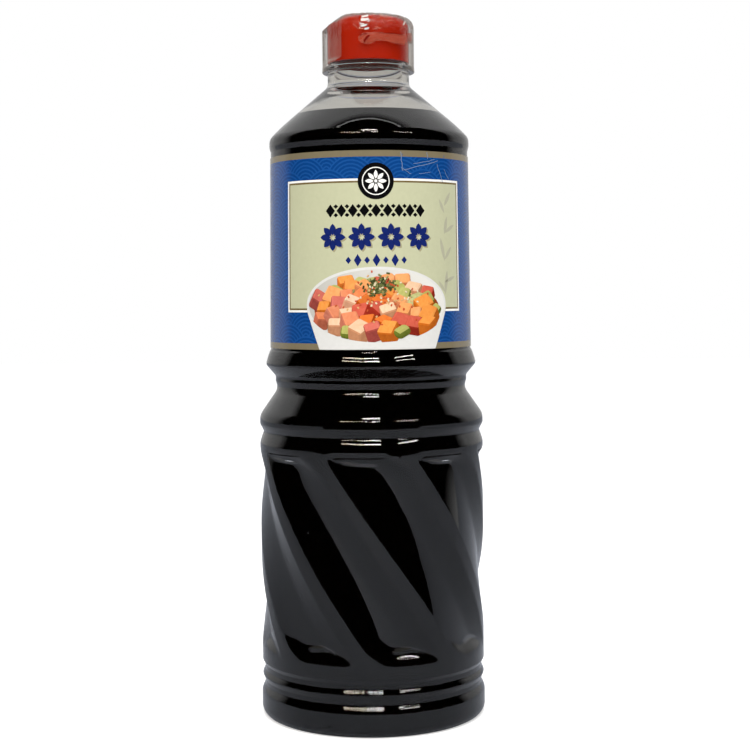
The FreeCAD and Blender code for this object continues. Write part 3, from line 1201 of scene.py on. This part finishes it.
def make_food():
    """Diced fish, fruit and green wedges heaped in the bowl, with chopped herbs and grains over them."""
    rng = random.Random(41)
    kinds = [
        ("F29A48", "D8701E", 17), ("E87A34", "C2500E", 10), ("D4604C", "A8301E", 9),
        ("F2C8A4", "DC9A70", 6), (green_top, green_side, 12),
    ]
    spots = pile_spots(rng)
    bag = [(top, side) for top, side, count in kinds for _ in range(count)]
    while len(bag) < len(spots):
        bag.append(bag[len(bag) % 20])
    rng.shuffle(bag)
    bm = bmesh.new()
    layer = bm.loops.layers.float_color.new("Print")
    rank = 0
    for spot, (top, side) in zip(spots, bag):
        edge = rng.uniform(5.0, 6.6)
        green = side == green_side
        shape = (1.05, 0.8, 0.6) if green else (1.0, rng.uniform(0.8, 1.1), 0.95)
        size = [edge * part for part in shape]
        turn = (Matrix.Rotation(rng.uniform(-1.1, -0.6), 3, "X")
                @ Matrix.Rotation(rng.uniform(-0.35, 0.35), 3, "Y")
                @ Matrix.Rotation(rng.uniform(0, math.pi), 3, "Z"))
        tint = rng.uniform(0.9, 1.12)
        shades = (toned(colour(top), tint), toned(colour(side), tint))
        add_morsel(bm, layer, spot, rank, size, turn, shades, edge * (0.26 if green else 0.14))
        rank += 1
    for count, size, soften, step, middle, spread, tilt, codes in (
        (120, (1.3, 0.6, 0.5), 0.1, 0.15, (0, 6.4), (2.3, 1.5), 3, ("565E34", "747C48", "444C2C", "98975E")),
        (90, (0.8, 0.55, 0.5), 0.12, 0.1, (2, 2.9), (7.5, 3.4), 0, ("F0E2BE", "E8B47C", "D05A34")),
    ):
        for _ in range(count):
            spot = (bowl_middle[0] + 0.6 + rng.gauss(middle[0], spread[0]),
                    bowl_middle[1] + middle[1] + rng.gauss(0, spread[1]))
            shade = colour(rng.choice(codes))
            turn = Matrix.Rotation(rng.uniform(0, 3), 3, "Z")
            if tilt:
                turn = turn @ Matrix.Rotation(rng.uniform(0, tilt), 3, "X")
            add_morsel(bm, layer, spot, rank, size, turn, (shade, shade), soften)
            rank += step
    wrap(bm)
    piece = piece_from("bowl_food", bm, "food_print")
    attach(piece, "root")


# ======== cap and seal ========

def under_slope(place, gap=0.0, soft=0.8):
    """A point in millimetres, lowered to the lid's sloping side at the left, with a soft crease."""
    limit = lid_slope_low + gap + lid_slope * (place.x + cap_radius)
    blend = max(soft - abs(place.z - limit), 0) / soft
    return Vector((place.x, place.y, min(place.z, limit) - blend * blend * soft / 4))


def make_cap():
    """Red cap with a rounded top that slopes at the left, hollow over the finish."""
    hollow = finish_radius + cap_clearance
    low = cap_low.z / MM
    high = cap_high.z / MM
    outline = rounded([
        (0, finish_top, 0), (hollow, finish_top, 0), (hollow, low, 0), (cap_radius, low, 0.3),
        (cap_radius, high - lid_drop, cap_fillet), (0, high - lid_drop, 0),
    ], arc_step=math.radians(6), run_step=1.2)
    cap = spun("cap_shell", outline, materials["red_plastic"], columns=192, fluted=False)
    for vert in cap.data.vertices:
        place = vert.co / MM
        if place.z > lid_slope_low - 1 and place.z > finish_top + 0.05:
            vert.co = under_slope(place) * MM
    cap.data.set_sharp_from_angle(angle=math.radians(40))
    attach(cap, "root")
    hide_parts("cap")


def make_tab():
    """Small thumb tab at the right of the cap."""
    bm = bevelled_block((tab_depth, tab_width, tab_height), 0.8, 4)
    place = Matrix.Translation((cap_radius + tab_reach - tab_depth / 2, 0,
                                cap_high.z / MM - tab_drop + tab_height / 2))
    turn = Matrix.Rotation(tab_side - math.pi / 2, 4, "Z")
    bmesh.ops.transform(bm, matrix=Matrix.Scale(MM, 4) @ turn @ place, verts=bm.verts)
    printed("cap_tab", bm, "red_plastic")


def film_outline():
    """The seal's outline: from under the ledge, round the skirt, up, and over the cap's rim."""
    high = film_high.z / MM - film_drop
    return rounded([
        (neck_radius + 0.3, film_low.z / MM, 0), (film_radius + 0.15, film_low.z / MM, 0.5),
        (film_radius, ledge_top + 0.6, 1.5), (film_radius, high, film_fillet), (film_mouth, high, 0),
    ], arc_step=math.radians(5), run_step=0.45)


def bump(value, middle, width):
    """A smooth hump of height 1 round a middle."""
    return math.exp(-((value - middle) / width) ** 2)


def smooth_step(value, low, high):
    """0 below low, 1 above high, smooth between."""
    share = min(max((value - low) / (high - low), 0.0), 1.0)
    return share * share * (3 - 2 * share)


def seal_flat(angle):
    """How far the seal's long flat at the left lies inside its round: zero at its two folds."""
    first, last = math.radians(-78), math.radians(-34)
    if not first < angle < last:
        return 0.0
    half = (last - first) / 2
    return film_radius * (1 - math.cos(half) / math.cos(angle - (first + last) / 2))


def crumple(place, angle):
    """How far the seal stands off its smooth shape: slack near the rim, taut lower down."""
    high = film_high.z / MM
    slack = smooth_step(place.z, high - 10.0, high - 3.0)
    front = bump(angle, -0.05, 0.35) + 0.5 * bump(angle, 0.75, 0.3)
    fine = noise.noise(Vector((place.x, place.y, place.z * 1.3)) * 1.0)
    sharp = 1 - abs(noise.noise(Vector((place.x * 0.6 + 9, place.y * 0.6, place.z * 0.9))) * 2)
    ripple = noise.noise(Vector((place.x * 0.25, place.y * 0.25, place.z * 0.06 + 5)))
    return slack * (0.30 * fine + 0.38 * (sharp * sharp - 0.6)) * (0.35 + 1.0 * front) + 0.05 * ripple


def make_seal():
    """Clear shrink seal with its crumpled rim."""
    outline = film_outline()
    columns = 300
    bm = bmesh.new()
    sheets = []
    for inward in (0.0, film_thick):
        rows = []
        for i, (radius, height) in enumerate(outline):
            run = run_at(outline, i)
            taut = smooth_step(height, ledge_top + 1.0, ledge_top + 3.0)
            row = []
            for j in range(columns):
                turn = math.tau * j / columns
                angle = math.atan2(math.cos(turn), -math.sin(turn))
                flat = Vector((radius * math.cos(turn), radius * math.sin(turn), height))
                outwards = Vector((run[1] * math.cos(turn), run[1] * math.sin(turn), -run[0]))
                side = Vector((math.cos(turn), math.sin(turn), 0))
                stand = crumple(flat, angle) - 0.15 - inward
                place = flat + outwards * stand - side * seal_flat(angle) * taut
                row.append(bm.verts.new(under_slope(place, 0.9 - inward) * MM))
            rows.append(row)
        sheets.append(rows)
    outer, inner = sheets
    loft(bm, outer + inner[::-1], closed=True)
    bmesh.ops.recalc_face_normals(bm, faces=bm.faces)
    seal = piece_from("seal_shrink", bm, "clear_film", sharp=60)
    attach(seal, "root")
    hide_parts("seal_film")


def on_seal(angle, height, lift):
    """A place on the seal's side, in metres, by its angle from the front."""
    radius = film_radius + lift
    return Vector((radius * math.sin(angle), -radius * math.cos(angle), height)) * MM


def make_fold():
    """Folded slack of the seal: a knot at the front, a strip to the thumb tab, and dark ribbons of painted
    shadow in the knot's slit and along the fold.
    """
    top = fold_height + knot_half
    bm = bmesh.new()
    columns = 44
    rows = []
    for i in range(columns + 1):
        angle = -0.2 + 1.12 * i / columns
        knot = max(1 - ((angle + 0.01) / 0.2) ** 2, 0.0) ** 0.5 if angle < 0.19 else 0.0
        strip = smooth_step(angle, 0.02, 0.12)
        high = top + 0.15 * math.sin(angle * 9) - knot_half * (1 - max(knot, strip))
        droop = 0.9 + 0.75 * smooth_step(angle, 0.3, 0.85) + 0.25 * bump(angle, 0.55, 0.12)
        low = fold_height - max(knot_half * knot, droop * strip)
        middle = (high + low) / 2
        half = max((high - low) / 2, 0.05)
        rows.append([bm.verts.new(on_seal(angle, middle + half * across, lift)) for across, lift in (
            (-1, -0.25), (-0.93, 0.16), (-0.5, 0.32), (0.1, 0.22), (0.6, 0.42), (0.95, 0.2), (1, -0.25))])
    loft(bm, rows)
    printed("seal_fold", bm, "folded_film_and_faint_glint")
    # dark ribbons of painted shadow: in the knot's slit and along the upper edges of the knot and strip
    bm = bmesh.new()
    for line, width in (
        (((-0.075, -1.3), (-0.045, -0.5), (-0.01, 0.4), (0.03, 0.9)), 0.62),
        (((-0.16, 0.9), (-0.1, 1.5), (-0.02, 1.4)), 0.3), (((0.2, 1.75), (0.5, 1.9), (0.8, 1.85)), 0.25),
    ):
        ribbon(bm, [(angle * film_radius, fold_height + up) for angle, up in line], width, 0.5, 0.1)
    for vert in bm.verts:
        vert.co = on_seal(vert.co.x / film_radius, vert.co.y, vert.co.z)
    printed("seal_slit_shadow", bm, "fold_shadow")


def make_painted_glints():
    """Painted highlights on the seal's slack: bright pale ribbons, and faint ribbons in the milky fold
    colour.
    """
    rng = random.Random(9)
    bright = bmesh.new()
    faint = bmesh.new()
    for bm, angle, up, run, rise, width in (
        (bright, -0.13, 14.6, 0.14, 0.5, 0.7), (bright, -0.14, 13.5, 0.16, 0.15, 0.9),
        (bright, -0.17, 12.3, 0.09, -0.5, 0.4), (bright, -0.15, 11.2, 0.13, 0.45, 0.6),
        (bright, -0.07, 10.3, 0.09, 0.1, 0.6), (bright, 0.0, 12.6, 0.05, 0.9, 0.25),
        (faint, 0.1, 10.1, 0.12, 0.5, 0.5), (faint, 0.14, 11.1, 0.14, -0.7, 0.45),
        (faint, 0.16, 14.0, 0.09, 0.5, 0.4), (faint, 0.3, 13.4, 0.05, -1.3, 0.3),
        (faint, 0.42, 12.8, 0.08, 1.0, 0.35), (faint, 0.52, 13.7, 0.1, -0.9, 0.3),
        (bright, 0.84, 12.4, 0.05, 1.3, 0.25), (faint, 0.75, 11.4, 0.16, 0.5, 0.4),
        (faint, 0.82, 13.8, 0.12, -1.0, 0.4), (faint, -0.52, 14.4, 0.12, 0.6, 0.3),
        (faint, -0.02, 11.6, 0.1, 1.4, 0.4), (faint, -0.3, 12.0, 0.1, -1.6, 0.4),
    ):
        points = []
        for i in range(7):
            share = i / 6
            height = cap_low.z / MM + up + rise * share + rng.uniform(-0.13, 0.13)
            points.append(((angle + run * share) * film_radius, height))
        ribbon(bm, points, width, 0.3, 0.3)
    shoulder = film_high.z / MM - film_drop - film_fillet
    # bright ribbons take the painted glint colour, faint ones the milky fold colour as dimmer painted
    # highlights
    for bm, name, material in (
        (bright, "seal_painted_glints", "painted_glint"), (faint, "seal_painted_faint_glints", "folded_film_and_faint_glint"),
    ):
        for vert in bm.verts:
            over = max(vert.co.y - shoulder, 0.0)
            pull = film_fillet - math.sqrt(max(film_fillet ** 2 - over * over, 0.3))
            vert.co = on_seal(vert.co.x / film_radius, vert.co.y, vert.co.z - pull + 0.15)
        printed(name, bm, material)


# ======== pieces ========

def make_shell():
    """The clear shell: outer skin, finish, bore and cavity in one closed surface."""
    outside = rounded(skin_corners() + finish_corners(), arc_step=math.radians(20), flute_step=1.45,
                      arc_length=1.3, guard=0.2)
    inside = rounded(cavity_corners(wall), arc_step=math.radians(45), flute_step=7.0)[::-1]
    sunk = [0.0] * len(outside) + [wall] * len(inside)
    shell = spun("bottle_shell", outside + inside, materials["clear_plastic"], sunk=sunk)
    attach(shell, "root")
    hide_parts("bottle")


def make_sauce():
    """The filling, which reaches a little into the wall, up to its level."""
    depth = wall - sauce_bite
    level = sauce_top / MM
    line = rounded(cavity_corners(depth), flute_step=1.2)
    rim = next(i for i, point in enumerate(line) if point[1] > level)
    low, high = line[rim - 1], line[rim]
    edge = low[0] + (high[0] - low[0]) * (level - low[1]) / (high[1] - low[1])
    outline = line[:rim] + [(edge, level), (0, level)]
    sauce = spun("sauce_filling", outline, materials["dark_sauce"], sunk=[depth] * len(outline))
    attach(sauce, "root")
    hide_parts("sauce")


trees = {"spin": spin_tree(), "waves": wave_tree()}
inks = {
    "label_blue": "063C7C", "label_wave": "134A8E", "label_gold": "776D56", "label_white": "F0F0EC",
    "label_dark_gold": "6E5E3E", "label_cream": "BABC9D", "label_black": "0A0A0C", "label_navy": "142364",
    "label_shadow": "9A9478", "label_mark": "ABAA95", "label_crease": "7088A8", "bowl_white": "D4D4D2",
    "bowl_gravy": "8A3C18", "fold_shadow": "6A0E08",
}
materials = {name: print_ink(name, code) for name, code in inks.items()}
for make_finish in (clear_plastic, dark_sauce, bowl_inside, food_print, red_plastic, clear_film, folded_film_and_faint_glint,
                    painted_glint):
    materials[make_finish.__name__] = make_finish()
bpy.context.scene.view_settings.view_transform = "Standard"
for make in (
    make_camera, make_world, make_floor, make_lamps, make_shell, make_sauce, make_label, make_bands,
    make_waves, make_panel, make_emblem, make_ornaments, make_creases, make_bowl, make_food, make_cap,
    make_tab, make_seal, make_fold, make_painted_glints,
):
    make()
